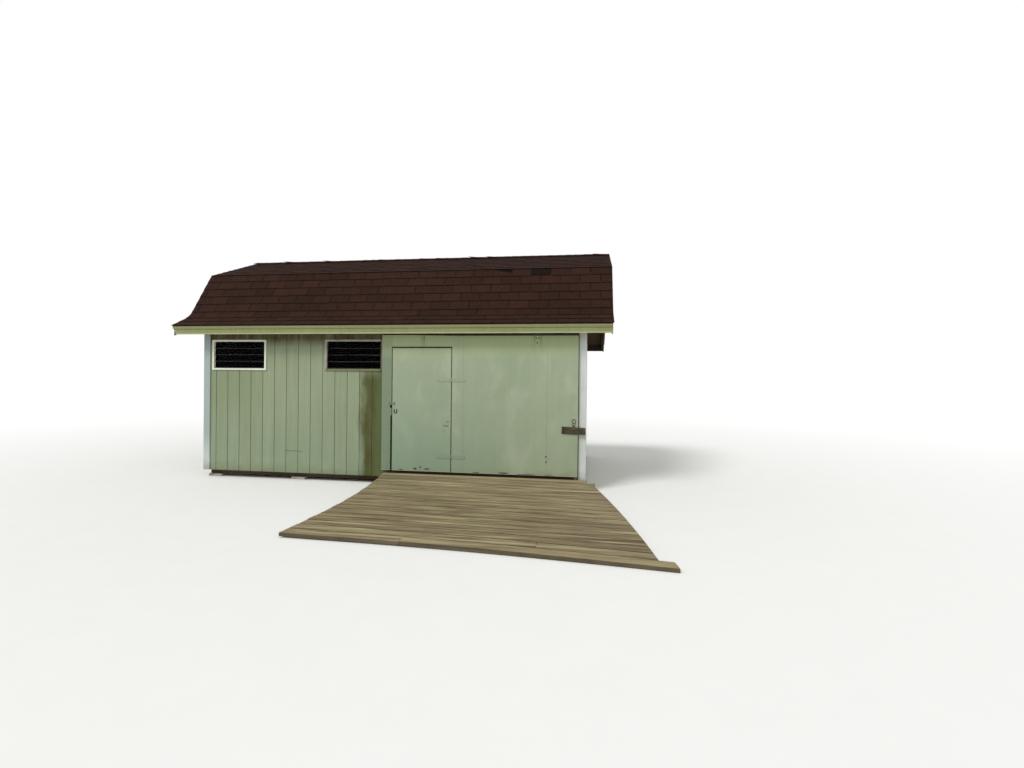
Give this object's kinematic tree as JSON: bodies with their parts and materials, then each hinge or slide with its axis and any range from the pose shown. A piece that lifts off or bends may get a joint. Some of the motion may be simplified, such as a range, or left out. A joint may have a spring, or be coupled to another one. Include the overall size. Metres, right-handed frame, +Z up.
{
  "type": "boathouse",
  "caption": "Gambrel roofed timber boathouse with flared eaves, grooved siding, louvred windows, a wide sliding leaf with a small door in it, and a plank ramp.",
  "frame": {"origin": "ground level under the centre of the building's floor, on the underside of the middle foundation pad", "axes": "+X along the front to the right as seen from outside, +Y from the front to the back, +Z up"},
  "size_m": [7.26, 6.8959, 3.8806],
  "materials": {
    "pad_concrete": "matte",
    "treated_timber": "matte",
    "bare_timber": "matte",
    "floor_plywood": "matte",
    "siding_paint": "matte",
    "trim_paint": "matte",
    "window_paint": "satin",
    "window_glass": "gloss",
    "roof_plywood": "matte",
    "shingles": "matte",
    "fascia_paint": "satin",
    "galvanised_steel": "satin",
    "weathered_deck": "matte",
    "leaf_paint": "matte",
    "painted_iron": "matte",
    "dark_board": "matte"
  },
  "bodies": {
    "building": {"foundation_pads": "pad_concrete", "skids": "treated_timber", "floor_frame": "bare_timber", "floor_deck": "floor_plywood", "front_siding_left": "siding_paint", "front_siding_right": "siding_paint", "front_studs_left": "bare_timber", "front_studs_right": "bare_timber", "front_header": "bare_timber", "back_siding": "siding_paint", "back_studs": "bare_timber", "left_gable_siding": "siding_paint", "left_gable_studs": "bare_timber", "right_gable_siding": "siding_paint", "right_gable_studs": "bare_timber", "corner_trims": "trim_paint", "window_frames": "window_paint", "window_louvres": "window_glass", "front_lower_rafters": "bare_timber", "front_upper_rafters": "bare_timber", "back_upper_rafters": "bare_timber", "back_lower_rafters": "bare_timber", "eave_sprockets": "bare_timber", "rafter_gussets": "roof_plywood", "front_lower_deck": "roof_plywood", "front_upper_deck": "roof_plywood", "back_upper_deck": "roof_plywood", "back_lower_deck": "roof_plywood", "front_lower_shingles": "shingles", "front_upper_shingles": "shingles", "back_upper_shingles": "shingles", "back_lower_shingles": "shingles", "ridge_cap": "shingles", "fascia_boards": "fascia_paint", "rake_boards": "fascia_paint", "slide_track": "galvanised_steel", "ramp_boards": "weathered_deck", "ramp_stringers": "treated_timber"},
    "sliding_leaf": {"leaf_left_stile": "leaf_paint", "leaf_header": "leaf_paint", "leaf_right_frame": "bare_timber", "leaf_right_sheets": "leaf_paint", "leaf_hardware": "painted_iron", "name_board": "dark_board"},
    "wicket": {"wicket_door": "leaf_paint", "wicket_hardware": "painted_iron"}
  },
  "joints": [
    {"name": "leaf_slide", "type": "slide", "parent": "building", "child": "sliding_leaf", "axis": [-1, 0, 0], "range_m": [0, 2.85]},
    {"name": "wicket_hinge", "type": "hinge", "parent": "sliding_leaf", "child": "wicket", "pos_m": [1.069, -1.8973, 0], "axis": [0, 0, 1], "range_deg": [0, 105]}
  ]
}
